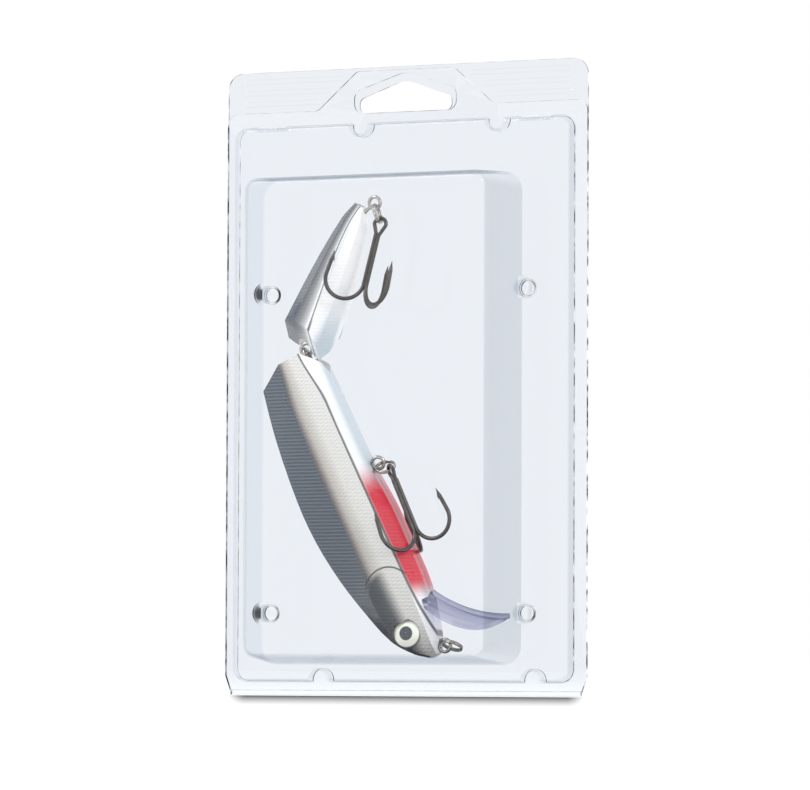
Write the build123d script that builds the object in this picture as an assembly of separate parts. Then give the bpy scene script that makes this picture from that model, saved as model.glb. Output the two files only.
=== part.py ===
"""Clear clamshell hang pack that holds a two-piece jointed fishing lure. Millimetres, +Z up.

The pack stands or hangs upright with its front towards -Y. Heights are written from the pack's
folded bottom edge, and each piece is moved at the end so that the origin is the point of the hang
hole that bears on a peg.
"""
from build123d import *
from math import atan2, cos, degrees, radians, sin
import os

# Sheet, outline and fold of the pack
sheet = 0.5
pack_width = 125.0
pack_height = 195.0
top_corner_radius = 5.0
foot_cut_width = 1.9
foot_cut_height = 6.0
fold_radius = 0.75
fold_clearance = 0.06

# Front half's trimmed top: shoulders and the hanger tab between them
shoulder_height = 182.2
shoulder_radius = 3.5
tab_half_foot = 30.6
tab_half_top = 16.8
tab_height = 194.0
tab_radius = 3.0

# Hang hole, bottom edge, half width, height of its sides and of its peak
hole_bottom = 180.8
hole_half_width = 16.0
hole_side_height = 185.2
hole_peak_height = 190.8
hole_end_radius = 2.1
hole_peak_radius = 7.0
hole_step_side = 1.7
hole_step_top = 2.4

# Raised rim that stiffens the front half
rim_width = 117.4
rim_bottom = 3.8
rim_top = 177.9
rim_depth = 4.5
rim_draft = 0.8
rim_corner_radius = 4.6
rim_edge_radius = 1.1

# Bubble that holds the lure, standing on the rim's face
bubble_depth = 20.0
bubble_foot_left = -47.7
bubble_foot_right = 42.5
bubble_foot_bottom = 9.5
bubble_foot_top = 160.6
bubble_side_draft = 4.1
bubble_top_draft = 0.9
bubble_bottom_draft = 2.4
bubble_foot_corner_radius = 6.0
bubble_face_corner_radius = 3.6
bubble_edge_radius = 2.2

# Snap bosses that straddle the bubble's foot, and the posts of the back half that enter them
boss_left = -46.4
boss_right = 42.4
boss_low = 25.4
boss_high = 124.9
boss_foot_radius = 3.9
boss_face_radius = 3.4
boss_height = 2.0
boss_edge_radius = 0.5
post_clearance = 0.3
post_draft = 0.3

# Half-round notches and long beads of the rim's walls
notch_radius = 3.15
notch_top_places = (-14.4, 32.6)
notch_bottom_places = (-27.8, 45.3)
notch_inset = 0.9
bead_place = 45.9
bead_length = 11.6
bead_radius = 1.3
bead_sink = 0.9

# Ribs pressed in the back half's two pull corners
rib_rows = (192.1, 188.6, 185.1)
rib_inner_ends = (21.8, 26.0, 30.2)
rib_outer_end = 56.8
rib_width = 1.1
rib_height = 0.35

# How the lure lies in the bubble: nose point, angle of its back from +X, and its roll
nose_x = 16.0
nose_y = -10.5
nose_z = 12.2
body_angle = 117.0
body_roll = 5.0

# Sections of the body from the nose to the tail joint:
# place along it, back height and half width, shoulder height, keel-side height, side half width,
# belly height and half width
body_sections = (
    (0.0, 1.4, 1.0, 0.4, -1.4, 1.9, -2.2, 1.0),
    (3.0, 5.0, 2.2, 3.6, -2.2, 4.5, -3.8, 2.0),
    (9.5, 9.7, 3.4, 7.3, -3.4, 7.0, -5.6, 2.8),
    (21.0, 13.4, 4.2, 8.4, -4.3, 8.5, -7.8, 3.3),
    (34.0, 16.5, 4.6, 7.2, -4.3, 8.8, -8.3, 3.2),
    (48.0, 18.4, 4.8, 6.6, -4.5, 8.9, -8.3, 3.2),
    (62.0, 18.6, 4.8, 7.0, -4.6, 8.9, -7.2, 3.4),
    (84.0, 16.7, 4.4, 6.5, -4.6, 8.5, -6.9, 3.4),
    (104.0, 13.3, 3.8, 4.8, -2.4, 7.6, -6.9, 3.0),
)
section_steps = 3
notch_valley = 94.5
notch_mouth_half_width = 9.5

# Eye: a domed disc in a round socket of the head's side
eye_place = 9.0
eye_rise = 3.0
eye_radius = 4.3
eye_dome = 0.9
eye_depth = 1.2
eye_socket_clearance = 0.05
eye_side = 6.35

# Diving lip: a bent and dished clear plate, let into the throat
lip_root = (25.5, -3.2)
lip_middle = (9.4, -13.4)
lip_tip = (0.1, -26.6)
lip_thickness = 1.5
lip_dish = 2.4
lip_dish_width = 7.9
lip_turn = 14.0
lip_half_widths = (
    (0.0, 5.4), (0.16, 5.4), (0.36, 6.6), (0.56, 7.7), (0.74, 7.9), (0.88, 6.8), (0.96, 4.6), (1.0, 2.2),
)

# Wire parts: screw eyes, split rings and treble hooks
eye_loop_radius = 1.9
eye_wire_radius = 0.55
eye_shank_length = 11.0
eye_shank_fit = 0.05
ring_radius = 3.0
ring_wire_radius = 0.32
ring_turn_offset = 0.28
treble_shank = 19.0
treble_bend_radius = 6.0
treble_wire_radius = 0.62
treble_bundle_radius = 0.58
treble_riser = 4.6
treble_point_length = 2.8
treble_point_lean = 7.0
treble_eye_radius = 2.0
treble_eye_length = 2.7
treble_eye_wire_radius = 0.58
barb_length = 1.8
barb_radius = 0.3
barb_lift = 24.0

# Tail section: its pose at the joint and its sections in the same order as the body's
tail_angle = 63.7
tail_lean = -1.0
tail_twist = -25.0
tail_joint_inset = 0.3
tail_sections = (
    (0.0, 10.6, 4.6, 3.6, -5.2, 6.9, -7.9, 2.6),
    (24.0, 9.0, 3.6, 3.7, -3.4, 5.6, -5.2, 2.2),
    (42.0, 7.0, 2.2, 4.1, -0.2, 3.3, -1.5, 1.4),
    (48.0, 5.4, 1.0, 4.0, 1.6, 1.7, 0.8, 0.9),
)
tail_wedge_slope = 1.15
tail_pocket_radius = 4.3

# Places of the screw eyes as distances along and above the middle of the piece that holds them
belly_eye_place = 62.0
belly_eye_rise = -9.1
belly_eye_turn = 20.0
nose_eye_place = 1.4
nose_eye_rise = -4.4
nose_eye_tip = 22.0
joint_eye_place = 103.4
joint_eye_rise = -2.6
front_eye_offset = 1.15
rear_eye_offset = 0.6
tail_eye_centre = (-5.0, -10.9, 151.8)
tail_eye_axis = (-0.032, -0.991, -0.13)
tail_eye_foot = (44.0, 2.2)
tail_shank_length = 7.0

# Where the rings and hooks lie: centres and axes of their loops, and lines down their shanks
belly_ring_centre = (-1.24, -10.45, 70.29)
belly_ring_axis = (0.04, -0.576, 0.816)
belly_treble_eye = (1.83, -12.35, 68.77)
belly_treble_tilt = 24.2
belly_treble_back = 1.1
belly_treble_turn = 0.0
belly_treble_eye_turn = -44.8
tail_ring_centre = (-3.8, -11.4, 148.4)
tail_ring_axis = (0.933, 0.198, 0.3)
tail_treble_eye = (-2.6, -11.9, 145.0)
tail_treble_tilt = -11.5
tail_treble_back = -7.0
tail_treble_turn = 150.0
tail_treble_eye_turn = 150.0
nose_ring_lie = (0.96, -0.12, 0.16)
nose_ring_axis = (0.1, 0.42, 0.87)

os.makedirs("parts", exist_ok=True)
front = Plane.XZ
top_seat = (Align.CENTER, Align.CENTER, Align.MAX)
foot_seat = (Align.CENTER, Align.CENTER, Align.MIN)
half_width = pack_width / 2
lift_off = Vector(0, 0, -hole_peak_height)


def rounded(points, radii):
    """Closed outline through points, each corner rounded by its own radius."""
    outline = Polyline(*points, close=True)
    face = make_face(outline.edges())
    for point, radius in zip(points, radii):
        if radius > 0:
            corner = face.vertices().sort_by_distance((point[0], point[1], 0))[0]
            face = fillet(corner, radius)
    return face


def mirrored(points):
    """Points of a right-hand outline, then the same points on the left in reverse."""
    return list(points) + [(-x, z) for x, z in reversed(points)]


def plate(face, from_depth, to_depth):
    """Flat sheet between two depths behind the front; depth grows towards the viewer."""
    return extrude(front.offset(from_depth) * face, to_depth - from_depth)


def round_form(x, z, from_depth, to_depth, foot_radius, face_radius):
    """Round tapered form that stands towards the viewer."""
    start = front.offset(from_depth) * Pos(x, z) * Circle(foot_radius)
    end = front.offset(to_depth) * Pos(x, z) * Circle(face_radius)
    return loft([start, end])


def bead_form(x, z, depth, length, radius):
    """Round-ended bar across the pack."""
    bar = Cylinder(radius, length - 2 * bead_radius, rotation=(0, 90, 0))
    ends = [Pos(side * (length / 2 - bead_radius), 0, 0) * Sphere(radius) for side in (-1, 1)]
    return Pos(x, -depth, z) * (bar + ends)


def rim_form(inset, from_depth, to_depth):
    """The raised rim's block, its walls moved in by an inset, cut between two depths."""
    def section(depth):
        step = inset + rim_draft * depth / rim_depth
        width = rim_width - 2 * step
        height = rim_top - rim_bottom - 2 * step
        centre = (rim_top + rim_bottom) / 2
        outline = RectangleRounded(width, height, rim_corner_radius - step)
        return front.offset(depth) * Pos(0, centre) * outline
    block = loft([section(from_depth), section(to_depth)])
    face = block.faces().sort_by(Axis.Y)[0]
    return fillet(face.edges(), rim_edge_radius - inset)


def bubble_form(inset, from_depth, to_depth):
    """The bubble's block, its walls moved in by an inset, cut between two depths."""
    def section(depth):
        share = (depth - rim_depth) / bubble_depth
        left = bubble_foot_left + bubble_side_draft * share + inset
        right = bubble_foot_right - bubble_side_draft * share - inset
        low = bubble_foot_bottom + bubble_bottom_draft * share + inset
        high = bubble_foot_top - bubble_top_draft * share - inset
        radius = bubble_foot_corner_radius
        radius += (bubble_face_corner_radius - bubble_foot_corner_radius) * share
        outline = RectangleRounded(right - left, high - low, radius - inset)
        return front.offset(depth) * Pos((left + right) / 2, (low + high) / 2) * outline
    block = loft([section(from_depth), section(to_depth)])
    face = block.faces().sort_by(Axis.Y)[0]
    return fillet(face.edges(), bubble_edge_radius - inset)


def hang_hole(side_step, top_step):
    """Peaked slot with round ends."""
    wide = hole_half_width + side_step
    points = mirrored([
        (wide, hole_bottom),
        (wide, hole_side_height + top_step),
    ])
    points.insert(2, (0, hole_peak_height + top_step))
    end = hole_end_radius + side_step / 2
    return rounded(points, [end, end, hole_peak_radius, end, end])


def foot_points():
    """Right-hand bottom corner of both halves, cut away above the fold."""
    return [
        (half_width - foot_cut_width, fold_radius),
        (half_width, foot_cut_height),
    ]


def snap_places():
    return [(x, z) for x in (boss_left, boss_right) for z in (boss_low, boss_high)]


def front_shell():
    """Front half: flange with hanger tab, raised rim, bubble, snap bosses, notches and beads."""
    tab = [
        (tab_half_foot, shoulder_height),
        (tab_half_top, tab_height),
    ]
    points = mirrored(foot_points() + [(half_width, shoulder_height)] + tab)
    radii = [0, 0, shoulder_radius, tab_radius, tab_radius]
    flange = plate(rounded(points, radii + radii[::-1]), 0, sheet)
    rim_face = rim_depth
    bubble_face = rim_depth + bubble_depth
    outer_rim = rim_form(0, 0, rim_face)
    inner_rim = rim_form(sheet, -sheet, rim_face - sheet)
    notches = [(x, rim_top - notch_inset) for x in notch_top_places]
    notches += [(x, rim_bottom + notch_inset) for x in notch_bottom_places]
    for x, z in notches:
        outer_rim -= round_form(x, z, 0, rim_face, notch_radius, notch_radius)
        inner_rim -= round_form(x, z, -sheet, rim_face, notch_radius + sheet, notch_radius + sheet)
    for side in (-1, 1):
        depth = rim_depth / 2
        z = rim_top - rim_draft / 2 - bead_sink + bead_radius
        outer_rim -= bead_form(side * bead_place, z, depth, bead_length, bead_radius)
        inner_rim -= bead_form(side * bead_place, z, depth, bead_length, bead_radius + sheet)
    outer = outer_rim + bubble_form(0, rim_face - sheet, bubble_face)
    inner = inner_rim + bubble_form(sheet, rim_face - 2 * sheet, bubble_face - sheet)
    for x, z in snap_places():
        boss = round_form(x, z, rim_face - sheet, rim_face + boss_height, boss_foot_radius, boss_face_radius)
        boss = fillet(boss.faces().sort_by(Axis.Y)[0].edges(), boss_edge_radius)
        hollow = round_form(x, z, rim_face - 2 * sheet, rim_face + boss_height - sheet,
                            boss_foot_radius - sheet, boss_face_radius - sheet)
        outer += boss
        inner += hollow
    fold = Pos(0, 0, fold_radius) * Cylinder(fold_radius + fold_clearance, pack_width, rotation=(0, 90, 0))
    hole = plate(hang_hole(hole_step_side, hole_step_top), -sheet, 2 * sheet)
    return flange + outer - inner - hole - fold


def back_shell():
    """Back half: flat panel with ribbed pull corners, four hollow snap posts and the fold."""
    points = mirrored(foot_points() + [(half_width, pack_height)])
    radii = [0, 0, top_corner_radius]
    panel = plate(rounded(points, radii + radii[::-1]), -sheet, 0)
    fold_length = pack_width - 2 * foot_cut_width
    panel += Pos(0, 0, fold_radius) * Cylinder(fold_radius, fold_length, rotation=(0, 90, 0))
    for row, inner_end in zip(rib_rows, rib_inner_ends):
        for side in (-1, 1):
            length = rib_outer_end - inner_end
            centre = side * (rib_outer_end + inner_end) / 2
            band = Pos(centre, row) * SlotOverall(length, rib_width + 2 * rib_height)
            raised = extrude(front * band, rib_height, taper=45)
            pressed = Pos(0, sheet, 0) * extrude(front * band, rib_height, taper=45)
            panel = panel + raised - pressed
    reach = rim_depth + boss_height - sheet - post_clearance
    face_radius = boss_face_radius - sheet - post_clearance
    foot_radius = face_radius + post_draft
    for x, z in snap_places():
        post = round_form(x, z, -sheet, reach, foot_radius, face_radius)
        post = fillet(post.faces().sort_by(Axis.Y)[0].edges(), boss_edge_radius)
        bore = round_form(x, z, -2 * sheet, reach - sheet, foot_radius - sheet, face_radius - sheet)
        panel = panel + post - bore
    return panel - plate(hang_hole(0, 0), -2 * sheet, sheet)


def lie(origin, angle, lean, roll):
    """Plane of a long piece: Z along it, X to its back and Y to the side that faces the viewer."""
    along = Vector(cos(radians(angle)) * cos(radians(lean)), sin(radians(lean)),
                   sin(radians(angle)) * cos(radians(lean)))
    back = Vector(-sin(radians(angle)), 0, cos(radians(angle)))
    side = along.cross(back)
    turned = back * cos(radians(roll)) + side * sin(radians(roll))
    return Plane(origin=origin, x_dir=turned, z_dir=along)


def eased(sections, steps):
    """The listed sections with steps - 1 more between each pair, on smooth curves through them."""
    rows = [sections[0]] + list(sections) + [sections[-1]]
    rows_between = []
    for before, start, end, after in zip(rows, rows[1:], rows[2:], rows[3:]):
        span = end[0] - start[0]
        for step in range(steps):
            u = step / steps
            row = [start[0] + span * u]
            for k in range(1, len(start)):
                slope_in = span * (end[k] - before[k]) / (end[0] - before[0])
                slope_out = span * (after[k] - start[k]) / (after[0] - start[0])
                gain = 3 * (end[k] - start[k]) - 2 * slope_in - slope_out
                curl = slope_in + slope_out - 2 * (end[k] - start[k])
                row.append(start[k] + u * (slope_in + u * (gain + u * curl)))
            rows_between.append(row)
    return rows_between + [sections[-1]]


def faceted(sections):
    """Eight-sided form through a list of sections, smooth along its length."""
    outlines = []
    for place, back, back_half, shoulder, keel, side_half, belly, belly_half in eased(sections, section_steps):
        points = [(back, back_half), (shoulder, side_half), (keel, side_half), (belly, belly_half)]
        points += [(x, -y) for x, y in reversed(points)]
        outlines.append(Plane.XY.offset(place) * make_face(Polyline(*points, close=True).edges()))
    return loft(outlines, ruled=True)


def ring_plane(centre, axis):
    """Plane of a loop from its centre and the axis it is wound about."""
    return Plane(origin=centre, z_dir=axis)


def eye_plane(centre, out, axis):
    """Plane of a screw eye: Z away from the piece that holds it, Y the axis of its loop."""
    out = out.normalized()
    axis = Vector(*axis)
    axis = (axis - out * axis.dot(out)).normalized()
    return Plane(origin=centre, x_dir=axis.cross(out), z_dir=out)


def screw_eye(shank):
    """Wire eye: a closed loop about its centre, and a shank that runs down from it."""
    loop = Torus(eye_loop_radius, eye_wire_radius, rotation=(90, 0, 0))
    stem = Cylinder(eye_wire_radius, shank, align=(Align.CENTER, Align.CENTER, Align.MAX))
    return loop + Pos(0, 0, -eye_loop_radius) * stem


def shank_hole(shank):
    """Room for a screw eye's shank, and for the lower part of a loop that is sunk a little."""
    stem = Cylinder(eye_wire_radius + eye_shank_fit, shank + eye_shank_fit,
                    align=(Align.CENTER, Align.CENTER, Align.MAX))
    cup = Sphere(eye_loop_radius + eye_wire_radius + eye_shank_fit)
    return Pos(0, 0, -eye_loop_radius) * stem + cup


def split_ring():
    """Two turns of flattened wire side by side, about Z."""
    turns = [Pos(0, 0, side * ring_turn_offset) * Torus(ring_radius, ring_wire_radius) for side in (-1, 1)]
    return turns[0] + turns[1]


def hook_wire():
    """One of a treble's three hooks in the XZ plane: shank, round bend and barbed point."""
    shank = Cylinder(treble_wire_radius, treble_shank - treble_eye_length, align=top_seat)
    shank = Pos(treble_bundle_radius, 0, -treble_eye_length) * shank
    bend = Torus(treble_bend_radius, treble_wire_radius, major_angle=180 + treble_point_lean, align=None)
    centre = Pos(treble_bundle_radius + treble_bend_radius, 0, -treble_shank)
    bend = centre * Rot(90, 0, 0) * Rot(0, 0, 180) * bend
    riser = Cylinder(treble_wire_radius, treble_riser, align=foot_seat)
    point = Cone(treble_wire_radius, treble_wire_radius / 12, treble_point_length, align=foot_seat)
    barb = Rot(0, 180 + barb_lift, 0) * Cone(barb_radius, barb_radius / 8, barb_length, align=foot_seat)
    barb = Pos(-treble_wire_radius / 2, 0, treble_point_length / 3) * barb
    tip = Pos(0, 0, treble_riser) * (point + barb)
    rise = centre * Rot(0, -treble_point_lean, 0) * Pos(treble_bend_radius, 0, 0) * (riser + tip)
    return shank + bend + rise


def treble(eye_turn):
    """Three hooks brazed about one shank under a drawn-out eye whose centre is the origin."""
    hook = hook_wire()
    hooks = hook + Rot(0, 0, 120) * hook + Rot(0, 0, 240) * hook
    crown = Rot(90, 0, 0) * Torus(treble_eye_radius, treble_eye_wire_radius, major_angle=180, align=None)
    reach = treble_eye_length + treble_eye_radius / 2
    slant = degrees(atan2(treble_eye_radius - treble_bundle_radius / 2, reach))
    length = reach / cos(radians(slant))
    for side in (-1, 1):
        leg = Cylinder(treble_eye_wire_radius, length, align=top_seat)
        crown += Pos(side * treble_eye_radius, 0, 0) * Rot(0, side * slant, 0) * leg
    return hooks + Rot(0, 0, eye_turn) * crown


def hang(origin, tilt, back, turn):
    """Plane of a hanging treble: Z up its shank, tilted in the pack's plane and towards the back."""
    down = Vector(sin(radians(tilt)) * cos(radians(back)), sin(radians(back)),
                  -cos(radians(tilt)) * cos(radians(back)))
    across = Vector(cos(radians(tilt)), 0, sin(radians(tilt)))
    away = down.cross(across)
    first = across * cos(radians(turn)) + away * sin(radians(turn))
    return Plane(origin=origin, x_dir=first, z_dir=down * -1)


def lip_form():
    """The diving lip in the body's own lines: a dished band lofted along its bend."""
    spine = ThreePointArc(*[Vector(rise, 0, place) for place, rise in (lip_root, lip_middle, lip_tip)])
    bands = []
    thick = lip_thickness / 2
    for share, half in lip_half_widths:
        dish = lip_dish * (half / lip_dish_width) ** 2
        upper = ThreePointArc((-half, dish + thick), (0, thick), (half, dish + thick))
        lower = ThreePointArc((half, dish - thick), (0, -thick), (-half, dish - thick))
        rims = [Line((side * half, dish + thick), (side * half, dish - thick)) for side in (-1, 1)]
        station = Plane(origin=spine @ share, x_dir=(0, 1, 0), z_dir=spine % share)
        bands.append(station * Rot(0, 0, lip_turn) * make_face([upper.edge(), lower.edge(), rims[0].edge(), rims[1].edge()]))
    return loft(bands)


def save(name, shape):
    export_step(Pos(lift_off) * shape, "parts/" + name + ".step")


# Lines of the two halves of the lure and of its joint
body_line = lie((nose_x, nose_y, nose_z), body_angle, 0, body_roll)


def on_body(place, rise):
    return body_line.from_local_coords(Vector(rise, 0, place))


front_eye_centre = on_body(joint_eye_place, joint_eye_rise)
joint = front_eye_centre + body_line.z_dir * front_eye_offset
tail_line = lie(joint, tail_angle, tail_lean, tail_twist)
rear_eye_centre = joint + tail_line.z_dir * rear_eye_offset
tail_line.origin = joint + tail_line.z_dir * tail_joint_inset

# Screw eyes, each in its own plane with Z out of the piece that holds it
belly_out = body_line.x_dir * -1
belly_axis = body_line.y_dir * cos(radians(belly_eye_turn))
belly_axis += belly_out.cross(body_line.y_dir) * sin(radians(belly_eye_turn))
belly_plane = eye_plane(on_body(belly_eye_place, belly_eye_rise), belly_out, belly_axis)
nose_out = body_line.x_dir * -cos(radians(nose_eye_tip)) - body_line.z_dir * sin(radians(nose_eye_tip))
nose_plane = eye_plane(on_body(nose_eye_place, nose_eye_rise), nose_out, body_line.y_dir)
front_plane = eye_plane(front_eye_centre, body_line.z_dir, body_line.x_dir)
rear_plane = eye_plane(rear_eye_centre, tail_line.z_dir * -1, body_line.y_dir)
tail_foot = tail_line.from_local_coords(Vector(tail_eye_foot[1], 0, tail_eye_foot[0]))
tail_plane = eye_plane(tail_eye_centre, Vector(*tail_eye_centre) - tail_foot, tail_eye_axis)

# The lure's body with its notch for the tail, throat slot, eye sockets and bores
body = faceted(body_sections)
end_place = body_sections[-1][0] + 1
notch_points = [(0, notch_valley), (notch_mouth_half_width, end_place), (-notch_mouth_half_width, end_place)]
notch_outline = Plane.YZ * make_face(Polyline(*notch_points, close=True).edges())
body -= extrude(notch_outline, half_width, both=True)
for side in (-1, 1):
    seat = Plane(origin=(eye_rise, side * eye_side, eye_place), z_dir=(0, side, 0))
    body -= seat * Cylinder(eye_radius + eye_socket_clearance, 2 * eye_depth)
body = body_line * body - body_line * lip_form()
for plane in (belly_plane, nose_plane, front_plane):
    body -= plane * shank_hole(eye_shank_length)
save("lure_body", body)

# Eyes: shallow domes on a short round foot
for side, name in ((1, "eye_left"), (-1, "eye_right")):
    seat = Plane(origin=(eye_rise, side * eye_side, eye_place), z_dir=(0, side, 0))
    dome = Cylinder(eye_radius, eye_depth, align=top_seat)
    ball_radius = (eye_radius ** 2 + eye_dome ** 2) / (2 * eye_dome)
    cap = Pos(0, 0, eye_dome - ball_radius) * Sphere(ball_radius)
    cap &= Cylinder(eye_radius, eye_dome, align=foot_seat)
    save(name, body_line * seat * (dome + cap))

save("diving_lip", body_line * lip_form())

# The tail section: wedge at the joint, hollow round the linked eyes, bores for both screw eyes
tail = tail_line * faceted(tail_sections)
wide = notch_mouth_half_width
for side in (-1, 1):
    corner = [(0, -1), (side * wide, -1), (side * wide, wide * tail_wedge_slope), (0, 0)]
    off_cut = extrude(Plane.YZ * make_face(Polyline(*corner, close=True).edges()), half_width, both=True)
    tail -= tail_line * off_cut
tail -= Pos(joint) * Sphere(tail_pocket_radius)
tail -= rear_plane * shank_hole(eye_shank_length)
tail -= tail_plane * shank_hole(tail_shank_length)
save("tail_section", tail)

save("nose_screw_eye", nose_plane * screw_eye(eye_shank_length))
save("belly_screw_eye", belly_plane * screw_eye(eye_shank_length))
save("tail_screw_eye", tail_plane * screw_eye(tail_shank_length))
save("joint_eye_front", front_plane * screw_eye(eye_shank_length))
save("joint_eye_rear", rear_plane * screw_eye(eye_shank_length))

nose_axis = Vector(*nose_ring_axis).normalized()
nose_ring_way = Vector(*nose_ring_lie) - nose_axis * nose_axis.dot(Vector(*nose_ring_lie))
nose_ring_centre = nose_plane.origin + nose_ring_way.normalized() * ring_radius
for name, centre, axis in (("nose", nose_ring_centre, nose_ring_axis),
                           ("belly", belly_ring_centre, belly_ring_axis),
                           ("tail", tail_ring_centre, tail_ring_axis)):
    save(name + "_split_ring", ring_plane(centre, axis) * split_ring())
belly_hang = hang(belly_treble_eye, belly_treble_tilt, belly_treble_back, belly_treble_turn)
save("belly_treble", belly_hang * treble(belly_treble_eye_turn))
tail_hang = hang(tail_treble_eye, tail_treble_tilt, tail_treble_back, tail_treble_turn)
save("tail_treble", tail_hang * treble(tail_treble_eye_turn))

save("front_shell", front_shell())
save("back_shell", back_shell())
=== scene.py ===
import bpy
import math
from mathutils import Matrix, Vector


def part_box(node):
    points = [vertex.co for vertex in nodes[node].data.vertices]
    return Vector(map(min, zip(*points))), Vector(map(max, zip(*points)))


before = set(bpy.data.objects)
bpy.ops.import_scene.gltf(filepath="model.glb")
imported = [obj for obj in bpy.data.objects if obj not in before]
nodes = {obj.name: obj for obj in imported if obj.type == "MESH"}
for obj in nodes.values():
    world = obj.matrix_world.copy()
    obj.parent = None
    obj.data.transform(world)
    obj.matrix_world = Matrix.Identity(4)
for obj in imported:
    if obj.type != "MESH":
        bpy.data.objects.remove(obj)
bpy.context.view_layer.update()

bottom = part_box("back_shell")[0][2]
scene = bpy.context.scene
scene.view_settings.view_transform = "Standard"

# Camera: a long lens at the photograph's angle, 27 degrees to the pack's right, close to the floor
# and tipped up a little. It stands about 1.8 m from the foot of the pack.
turn = math.radians(27)
rise = math.radians(2.659)
roll = math.radians(0.206)
ahead = Vector((-math.sin(turn) * math.cos(rise), math.cos(turn) * math.cos(rise), math.sin(rise)))
right = Vector((math.cos(turn), math.sin(turn), 0))
up = right.cross(ahead)
right, up = right * math.cos(roll) + up * math.sin(roll), up * math.cos(roll) - right * math.sin(roll)
camera = bpy.data.objects.new("camera", bpy.data.cameras.new("camera"))
camera.data.lens = 258.04  # mm
camera.data.sensor_width = 36
camera.data.clip_end = 20
camera_place = Vector((0.81455, -1.59836, bottom + 0.00956))
camera.matrix_world = Matrix.Translation(camera_place) @ Matrix(
    (right, up, -ahead)).transposed().to_4x4()
scene.collection.objects.link(camera)
scene.camera = camera

# Stage: a white floor just under the pack and a white surround. The floor is one flat sheet, 12 m
# across, whose paper is half lit by the lamps and half bright by itself, so that it stays white.
world = bpy.data.worlds.new("surround")
scene.world = world
world.use_nodes = True
tree = world.node_tree
sky = tree.nodes["Background"]
sky.inputs["Color"].default_value = (1, 1, 1, 1)
sky.inputs["Strength"].default_value = 1.0

floor = bpy.data.objects.new("floor", bpy.data.meshes.new("floor"))
reach = 6.0
low = bottom - 0.0003
floor.data.from_pydata(
    [(-reach, -reach, low), (reach, -reach, low), (reach, reach, low), (-reach, reach, low)],
    [], [(0, 1, 2, 3)])
scene.collection.objects.link(floor)
paper = bpy.data.materials.new("stage_white")
paper.use_nodes = True
tree = paper.node_tree
add = tree.nodes.new
link = tree.links.new
shade = tree.nodes["Principled BSDF"]
shade.inputs["Roughness"].default_value = 0.9
shade.inputs["Specular IOR Level"].default_value = 0
shade.inputs["Emission Strength"].default_value = 0.52
# The soft shadow in front of the pack's foot is drawn in the paper and thrown by no lamp. It is laid
# out from the camera's angle and distance: out is the distance in front of the foot along the line
# of sight, and across the distance to the side of the middle, in metres, as it narrows.
camera_distance = 1.794
place = add("ShaderNodeTexCoord")
where = add("ShaderNodeSeparateXYZ")
link(place.outputs["Object"], where.inputs["Vector"])
own = {"x": where.outputs["X"], "y": where.outputs["Y"]}
for label, kind, *terms in (
        ("out", "MULTIPLY", "y", -1 / math.cos(turn)),
        ("slide", "MULTIPLY", "y", math.tan(turn)),
        ("foot", "ADD", "x", "slide"),
        ("part", "MULTIPLY", "out", 1 / camera_distance),
        ("left", "SUBTRACT", 1.0, "part"),
        ("spread", "DIVIDE", "foot", "left"),
        ("across", "ABSOLUTE", "spread"),
        ("within", "MAP", "across", 0.0635, 0.0555, 0.0, 1.0),
        ("fade", "MAP", "out", 0.60, -0.12, 0.0, 1.0),
        ("ahead", "MAP", "out", -0.03, -0.005, 0.0, 1.0),
        ("soft", "MULTIPLY", "within", "fade"),
        ("shadow", "MULTIPLY", "soft", "ahead")):
    if kind == "MAP":
        node = add("ShaderNodeMapRange")
        node.interpolation_type = "SMOOTHSTEP"
    else:
        node = add("ShaderNodeMath")
        node.operation = kind
    for term, socket in zip(terms, node.inputs[:5]):
        if isinstance(term, str):
            link(own[term], socket)
        else:
            socket.default_value = term
    own[label] = node.outputs[0]
white = add("ShaderNodeMix")
white.data_type = "RGBA"
white.inputs["A"].default_value = (1, 1, 1, 1)
white.inputs["B"].default_value = (0.07, 0.074, 0.082, 1)
link(own["shadow"], white.inputs["Factor"])
link(white.outputs["Result"], shade.inputs["Emission Color"])
half = add("ShaderNodeMix")
half.data_type = "RGBA"
half.blend_type = "MULTIPLY"
half.inputs["Factor"].default_value = 1
half.inputs["B"].default_value = (0.5, 0.5, 0.5, 1)
link(white.outputs["Result"], half.inputs["A"])
link(half.outputs["Result"], shade.inputs["Base Color"])
floor.data.materials.append(paper)

# Lamps: two soft square lights. The key stands in front to the left and above, and the rim light
# to the right. Sizes are in metres and powers in watts.
for name, place, aim, size, power in (
        ("key", (-0.9, -1.2, 1.1), (0, 0, -0.1), 0.7, 14),
        ("rim_light", (1.3, -0.5, 0.5), (0, 0, -0.1), 0.5, 6)):
    lamp = bpy.data.objects.new(name, bpy.data.lights.new(name, "AREA"))
    lamp.data.size = size
    lamp.data.energy = power
    lamp.location = place
    lamp.rotation_euler = (Vector(aim) - Vector(place)).to_track_quat("-Z", "Y").to_euler()
    scene.collection.objects.link(lamp)

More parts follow.
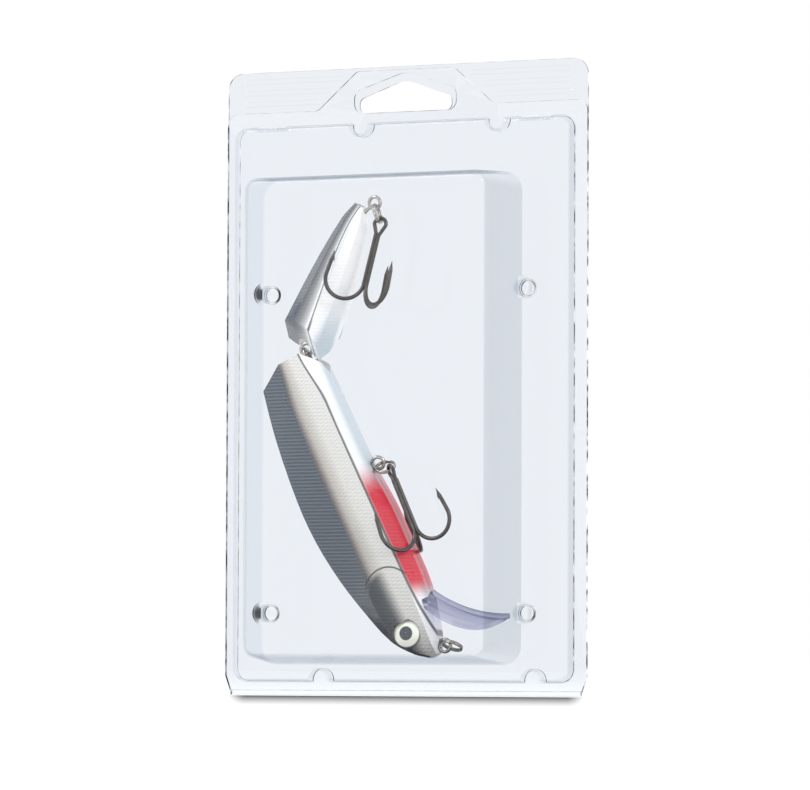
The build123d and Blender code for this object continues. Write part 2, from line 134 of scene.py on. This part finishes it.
# Film of both halves: thin clear plastic sheet, formed warm over a mould and cut out with a die. It
# is a little blue, greyer where it is seen edge-on, and has a dark broken line where it was cut.
for name, face_on in (("front_shell", (0.994, 0.996, 0.999)), ("back_shell", (0.918, 0.935, 0.957))):
    film = bpy.data.materials.new("film_" + name)
    film.use_nodes = True
    tree = film.node_tree
    tree.nodes.clear()
    add = tree.nodes.new
    link = tree.links.new
    out = add("ShaderNodeOutputMaterial")
    clear = add("ShaderNodeBsdfTransparent")
    gloss = add("ShaderNodeBsdfGlossy")
    gloss.inputs["Roughness"].default_value = 0.06
    gloss.inputs["Color"].default_value = (0.93, 0.96, 1.0, 1)
    facing = add("ShaderNodeLayerWeight")
    facing.inputs["Blend"].default_value = 0.32
    tint = add("ShaderNodeValToRGB")
    table = tint.color_ramp.elements
    table[0].position, table[0].color = 0.08, (*face_on, 1)
    table[1].position, table[1].color = 0.94, (0.33, 0.355, 0.38, 1)
    for position, colour in ((0.18, face_on), (0.26, (0.885, 0.895, 0.905)),
                             (0.38, (0.94, 0.95, 0.955)), (0.57, (0.955, 0.96, 0.97)),
                             (0.80, (0.78, 0.80, 0.82))):
        table.new(position).color = (*colour, 1)
    link(facing.outputs["Facing"], tint.inputs["Fac"])
    link(tint.outputs["Color"], clear.inputs["Color"])
    shine = add("ShaderNodeValToRGB")
    shine.color_ramp.elements[0].position = 0.0
    shine.color_ramp.elements[0].color = (0.006, 0.006, 0.006, 1)
    shine.color_ramp.elements[1].position = 1.0
    shine.color_ramp.elements[1].color = (0.40, 0.40, 0.40, 1)
    shine.color_ramp.elements.new(0.7).color = (0.03, 0.03, 0.03, 1)
    link(facing.outputs["Facing"], shine.inputs["Fac"])
    surface = add("ShaderNodeMixShader")
    link(shine.outputs["Color"], surface.inputs["Fac"])
    link(clear.outputs["BSDF"], surface.inputs[1])
    link(gloss.outputs["BSDF"], surface.inputs[2])
    # Cut edges: faces that look sideways and lie within the flat sheets where the halves meet
    place = add("ShaderNodeTexCoord")
    sides = add("ShaderNodeSeparateXYZ")
    link(place.outputs["Normal"], sides.inputs["Vector"])
    flat = add("ShaderNodeMath")
    flat.operation = "ABSOLUTE"
    link(sides.outputs["Y"], flat.inputs[0])
    sideways = add("ShaderNodeMath")
    sideways.operation = "LESS_THAN"
    sideways.inputs[1].default_value = 0.3
    link(flat.outputs["Value"], sideways.inputs[0])
    where = add("ShaderNodeSeparateXYZ")
    link(place.outputs["Object"], where.inputs["Vector"])
    depth = add("ShaderNodeMath")
    depth.operation = "GREATER_THAN"
    depth.inputs[1].default_value = -0.00052  # the front sheet is 0.5 mm thick
    link(where.outputs["Y"], depth.inputs[0])
    edge = add("ShaderNodeMath")
    edge.operation = "MULTIPLY"
    link(sideways.outputs["Value"], edge.inputs[0])
    link(depth.outputs["Value"], edge.inputs[1])
    speck = add("ShaderNodeTexNoise")
    speck.inputs["Scale"].default_value = 260
    speck.inputs["Detail"].default_value = 2
    link(place.outputs["Object"], speck.inputs["Vector"])
    broken = add("ShaderNodeValToRGB")
    broken.color_ramp.elements[0].position = 0.40
    broken.color_ramp.elements[0].color = (0.05, 0.06, 0.08, 1)
    broken.color_ramp.elements[1].position = 0.62
    broken.color_ramp.elements[1].color = (0.85, 0.88, 0.92, 1)
    link(speck.outputs["Fac"], broken.inputs["Fac"])
    cut = add("ShaderNodeBsdfDiffuse")
    link(broken.outputs["Color"], cut.inputs["Color"])
    whole = add("ShaderNodeMixShader")
    link(edge.outputs["Value"], whole.inputs["Fac"])
    link(surface.outputs["Shader"], whole.inputs[1])
    link(cut.outputs["BSDF"], whole.inputs[2])
    link(whole.outputs["Shader"], out.inputs["Surface"])
    for slot in nodes[name].material_slots:
        slot.material = film

# Painted lure: dark scaled back, pearl sides with fine dotted rows, painted shade as dark lines along
# the creases, white keel sides that turn blue-grey towards the far edge as painted shade, and a red
# throat; glossy clear coat. Each half is painted in its own lines: height above its middle, distance
# to the side and distance along it, all in metres.
for name, start, back, flank, along in (
        ("lure_body", (0.016, -0.0105, bottom + 0.0122), (-0.887616, -0.087156, -0.452263),
         (0.077656, -0.996195, 0.039568), (-0.453990, 0.0, 0.891007)),
        ("tail_section", (-0.029024, -0.010279, bottom + 0.106800), (-0.809225, 0.422554, 0.408171),
         (-0.385880, -0.906170, 0.173070), (0.443004, -0.017452, 0.896350))):
    paint = bpy.data.materials.new("paint_" + name)
    paint.use_nodes = True
    tree = paint.node_tree
    add = tree.nodes.new
    link = tree.links.new
    shade = tree.nodes["Principled BSDF"]
    place = add("ShaderNodeTexCoord")
    offset = add("ShaderNodeVectorMath")
    offset.operation = "SUBTRACT"
    offset.inputs[1].default_value = start
    link(place.outputs["Object"], offset.inputs[0])
    own = {}
    for label, vector, way in (("rise", offset.outputs["Vector"], back),
                               ("side", offset.outputs["Vector"], flank),
                               ("run", offset.outputs["Vector"], along),
                               ("tilt", place.outputs["Normal"], back)):
        dot = add("ShaderNodeVectorMath")
        dot.operation = "DOT_PRODUCT"
        dot.inputs[1].default_value = way
        link(vector, dot.inputs[0])
        own[label] = dot.outputs["Value"]
    # Fine scale rows that cross the back, and dotted rows that climb the sides
    for label, turned, scale, warp in (("rows", (0, 0, 0), 290, 0.6), ("dots", (0, 0.7, 0), 300, 0.3),
                                       ("cross", (0, -0.9, 0), 420, 0.3)):
        aim = add("ShaderNodeMapping")
        aim.inputs["Rotation"].default_value = turned
        link(place.outputs["Object"], aim.inputs["Vector"])
        wave = add("ShaderNodeTexWave")
        wave.bands_direction = "Z"
        wave.inputs["Scale"].default_value = scale
        wave.inputs["Distortion"].default_value = warp
        wave.inputs["Detail Scale"].default_value = 40
        link(aim.outputs["Vector"], wave.inputs["Vector"])
        own[label] = wave.outputs["Fac"]
    cloud = add("ShaderNodeTexNoise")
    cloud.inputs["Scale"].default_value = 120
    link(place.outputs["Object"], cloud.inputs["Vector"])
    own["cloud"] = cloud.outputs["Fac"]
    head = name == "lure_body"
    crease = (0.084, 0.104, -0.0046, -0.0024) if head else (0.0, 0.048, -0.0052, 0.0016)
    ridge = (0.084, 0.104, 0.0067, 0.0048) if head else (0.0, 0.048, 0.0036, 0.0040)
    for label, kind, *terms in (
            ("crease", "MAP", "run", *crease),
            ("ridge", "MAP", "run", *ridge),
            ("above", "SUBTRACT", "rise", "crease"),
            ("depth", "SUBTRACT", "ridge", "crease"),
            ("share", "DIVIDE", "above", "depth"),
            ("near_crease", "ABSOLUTE", "above"),
            # Painted shade: a dark line along the crease between the pearl side and the keel side,
            # where shade falls in the groove.
            ("crease_line", "MAP", "near_crease", 0.00045, 0.00012, 0.0, 0.85),
            ("is_side", "MAP", "tilt", -0.25, -0.12, 0.0, 1.0),
            ("is_back", "MAP", "tilt", 0.22, 0.34, 0.0, 1.0),
            ("belly", "MAP", "rise", -0.0046, -0.0075, 0.0, 1.0),
            ("dot_rows", "MULTIPLY", "dots", "cross"),
            ("dotted", "MAP", "dot_rows", 0.25, 0.75, 1.0, 0.80),
            ("throat_top", "MAP", "run", 0.064, 0.052, 0.0, 1.0),
            ("throat_end", "MAP", "run", 0.016, 0.023, 0.0, 1.0),
            ("throat_edge", "MAP", "rise", -0.0040, -0.0053, 0.0, 1.0),
            ("throat", "MULTIPLY", "throat_top", "throat_end"),
            ("red", "MULTIPLY", "throat", "throat_edge"),
            ("off_middle", "ABSOLUTE", "side"),
            ("middle", "MAP", "off_middle", 0.0011, 0.0003, 0.0, 0.75),
            ("middle_line", "MULTIPLY", "middle", "red"),
            ("gill_run", "SUBTRACT", "run", 0.0225),
            ("gill_rise", "SUBTRACT", "rise", 0.0022),
            ("gill_run_2", "POWER", "gill_run", 2.0),
            ("gill_rise_2", "POWER", "gill_rise", 2.0),
            ("gill_2", "ADD", "gill_run_2", "gill_rise_2"),
            ("gill", "SQRT", "gill_2"),
            ("off_gill", "SUBTRACT", "gill", 0.00775),
            ("near_gill", "ABSOLUTE", "off_gill"),
            ("gill_width", "MAP", "near_gill", 0.00042, 0.00010, 0.0, 0.9),
            ("behind", "MAP", "run", 0.0248, 0.0262, 0.0, 1.0),
            ("gill_line", "MULTIPLY", "gill_width", "behind"),
            ("in_gill", "MAP", "off_gill", 0.0001, -0.0022, 0.0, 1.0),
            ("in_head", "MAP", "run", 0.0255, 0.0215, 0.0, 1.0),
            ("head_part", "MAXIMUM", "in_gill", "in_head"),
            ("brow", "MAP", "rise", -0.0002, 0.0048, 0.0, 0.92),
            ("forehead", "MULTIPLY", "head_part", "brow")):
        if kind == "MAP":
            node = add("ShaderNodeMapRange")
            node.interpolation_type = "SMOOTHSTEP"
            values = node.inputs[:5]
        else:
            node = add("ShaderNodeMath")
            node.operation = kind
            values = node.inputs
        for term, socket in zip(terms, values):
            if isinstance(term, str):
                link(own[term], socket)
            else:
                socket.default_value = term
        own[label] = node.outputs[0]
    # Colours laid over each other: pearl side, scaled back, keel side, throat, head and lines
    ramps = {}
    pearl = ((0.0, (0.70, 0.70, 0.68)), (0.45, (0.68, 0.67, 0.63)), (0.78, (0.46, 0.43, 0.39)),
             (0.95, (0.15, 0.135, 0.13)), (1.0, (0.09, 0.09, 0.095)))
    if not head:
        pearl = ((0.0, (0.72, 0.75, 0.78)), (0.10, (0.85, 0.86, 0.87)), (0.28, (0.48, 0.49, 0.49)),
                 (0.6, (0.20, 0.21, 0.22)), (1.0, (0.07, 0.08, 0.10)))
    for label, source, stops in (
            ("pearl", "share", pearl),
            ("slate", "rows", ((0.0, (0.034, 0.046, 0.066)), (0.75, (0.060, 0.078, 0.104)),
                               (1.0, (0.115, 0.138, 0.172)))),
            # Keel side: white below the crease, turning blue-grey further down towards its far edge;
            # the blue-grey is painted shade.
            ("keel", "belly", ((0.0, (0.95, 0.95, 0.95)), (0.55, (0.86, 0.88, 0.90)),
                               (1.0, (0.50, 0.57, 0.63))))):
        ramp = add("ShaderNodeValToRGB")
        table = ramp.color_ramp.elements
        table[0].position, table[0].color = stops[0][0], (*stops[0][1], 1)
        table[1].position, table[1].color = stops[-1][0], (*stops[-1][1], 1)
        for position, colour in stops[1:-1]:
            table.new(position).color = (*colour, 1)
        link(own[source], ramp.inputs["Fac"])
        ramps[label] = ramp.outputs["Color"]
    colour = ramps["keel"]
    layers = [("is_side", ramps["pearl"]), ("is_back", ramps["slate"]),
              ("crease_line", (0.035, 0.03, 0.035, 1))]
    if head:
        layers[0:0] = [("red", (0.64, 0.008, 0.034, 1)), ("middle_line", (0.16, 0.008, 0.03, 1))]
        layers += [("forehead", (0.022, 0.032, 0.046, 1)), ("gill_line", (0.025, 0.028, 0.035, 1))]
    for factor, over in layers:
        mix = add("ShaderNodeMix")
        mix.data_type = "RGBA"
        link(own[factor], mix.inputs["Factor"])
        link(colour, mix.inputs["A"])
        if isinstance(over, tuple):
            mix.inputs["B"].default_value = over
        else:
            link(over, mix.inputs["B"])
        colour = mix.outputs["Result"]
    grain = add("ShaderNodeMix")
    grain.data_type = "RGBA"
    grain.blend_type = "MULTIPLY"
    link(own["is_side"], grain.inputs["Factor"])
    link(colour, grain.inputs["A"])
    link(own["dotted"], grain.inputs["B"])
    link(grain.outputs["Result"], shade.inputs["Base Color"])
    gloss_map = add("ShaderNodeMapRange")
    gloss_map.inputs["To Min"].default_value = 0.20
    gloss_map.inputs["To Max"].default_value = 0.42
    link(own["cloud"], gloss_map.inputs["Value"])
    link(gloss_map.outputs["Result"], shade.inputs["Roughness"])
    shade.inputs["Coat Weight"].default_value = 0.6
    shade.inputs["Coat Roughness"].default_value = 0.06
    bump = add("ShaderNodeBump")
    bump.inputs["Strength"].default_value = 0.35
    bump.inputs["Distance"].default_value = 0.00015
    link(own["rows"], bump.inputs["Height"])
    link(bump.outputs["Normal"], shade.inputs["Normal"])
    for slot in nodes[name].material_slots:
        slot.material = paint

# Diving lip: one moulding of clear plastic with a blue-violet tint, let into a slot in the throat.
# It is deeper in colour where it is seen edge-on.
lip = bpy.data.materials.new("clear_lip")
lip.use_nodes = True
tree = lip.node_tree
tree.nodes.clear()
add = tree.nodes.new
link = tree.links.new
out = add("ShaderNodeOutputMaterial")
clear = add("ShaderNodeBsdfTransparent")
gloss = add("ShaderNodeBsdfGlossy")
gloss.inputs["Roughness"].default_value = 0.08
facing = add("ShaderNodeLayerWeight")
facing.inputs["Blend"].default_value = 0.4
tint = add("ShaderNodeValToRGB")
tint.color_ramp.elements[0].color = (0.88, 0.88, 0.96, 1)
tint.color_ramp.elements[1].color = (0.38, 0.38, 0.54, 1)
link(facing.outputs["Facing"], tint.inputs["Fac"])
link(tint.outputs["Color"], clear.inputs["Color"])
surface = add("ShaderNodeMixShader")
surface.inputs["Fac"].default_value = 0.15
link(clear.outputs["BSDF"], surface.inputs[1])
link(gloss.outputs["BSDF"], surface.inputs[2])
link(surface.outputs["Shader"], out.inputs["Surface"])
for slot in nodes["diving_lip"].material_slots:
    slot.material = lip

# Eyes: domed plastic discs pressed into round sockets, with a pale green-cream ring round a dark
# pupil, under a clear gloss. The ring is drawn by the distance from the middle of each eye.
for name in ("eye_left", "eye_right"):
    glaze = bpy.data.materials.new("glaze_" + name)
    glaze.use_nodes = True
    tree = glaze.node_tree
    add = tree.nodes.new
    link = tree.links.new
    shade = tree.nodes["Principled BSDF"]
    lowest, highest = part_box(name)
    centre = [(a + b) / 2 for a, b in zip(lowest, highest)]
    place = add("ShaderNodeTexCoord")
    away = add("ShaderNodeVectorMath")
    away.operation = "DISTANCE"
    away.inputs[1].default_value = centre
    link(place.outputs["Object"], away.inputs[0])
    rings = add("ShaderNodeMapRange")
    rings.inputs["From Min"].default_value = 0.0
    rings.inputs["From Max"].default_value = 0.0045
    link(away.outputs["Value"], rings.inputs["Value"])
    iris = add("ShaderNodeValToRGB")
    iris.color_ramp.elements[0].position = 0.50
    iris.color_ramp.elements[0].color = (0.035, 0.045, 0.060, 1)
    iris.color_ramp.elements[1].position = 0.97
    iris.color_ramp.elements[1].color = (0.12, 0.13, 0.12, 1)
    for position, colour in ((0.55, (0.92, 0.97, 0.80, 1)), (0.88, (1.0, 1.0, 0.93, 1))):
        iris.color_ramp.elements.new(position).color = colour
    link(rings.outputs["Result"], iris.inputs["Fac"])
    link(iris.outputs["Color"], shade.inputs["Base Color"])
    shade.inputs["Roughness"].default_value = 0.15
    shade.inputs["Coat Weight"].default_value = 1
    for slot in nodes[name].material_slots:
        slot.material = glaze

# Wire parts: the screw eyes and split rings are bright nickel-plated wire, bent round, and the two
# treble hooks are dark bronzed steel. Both are slightly uneven in tone and gloss.
for names, colour, rough, label in (
        (("nose_screw_eye", "belly_screw_eye", "tail_screw_eye", "joint_eye_front", "joint_eye_rear",
          "nose_split_ring", "belly_split_ring", "tail_split_ring"),
         (0.55, 0.53, 0.50, 1), 0.22, "nickel"),
        (("belly_treble", "tail_treble"), (0.13, 0.12, 0.115, 1), 0.34, "bronzed_steel")):
    metal = bpy.data.materials.new(label)
    metal.use_nodes = True
    tree = metal.node_tree
    add = tree.nodes.new
    link = tree.links.new
    shade = tree.nodes["Principled BSDF"]
    shade.inputs["Metallic"].default_value = 1
    place = add("ShaderNodeTexCoord")
    grain = add("ShaderNodeTexNoise")
    grain.inputs["Scale"].default_value = 900
    link(place.outputs["Object"], grain.inputs["Vector"])
    worn = add("ShaderNodeMapRange")
    worn.inputs["To Min"].default_value = rough - 0.1
    worn.inputs["To Max"].default_value = rough + 0.1
    link(grain.outputs["Fac"], worn.inputs["Value"])
    link(worn.outputs["Result"], shade.inputs["Roughness"])
    tone = add("ShaderNodeMix")
    tone.data_type = "RGBA"
    tone.inputs["A"].default_value = colour
    tone.inputs["B"].default_value = tuple(0.6 * c for c in colour[:3]) + (1,)
    link(grain.outputs["Fac"], tone.inputs["Factor"])
    link(tone.outputs["Result"], shade.inputs["Base Color"])
    for name in names:
        for slot in nodes[name].material_slots:
            slot.material = metal
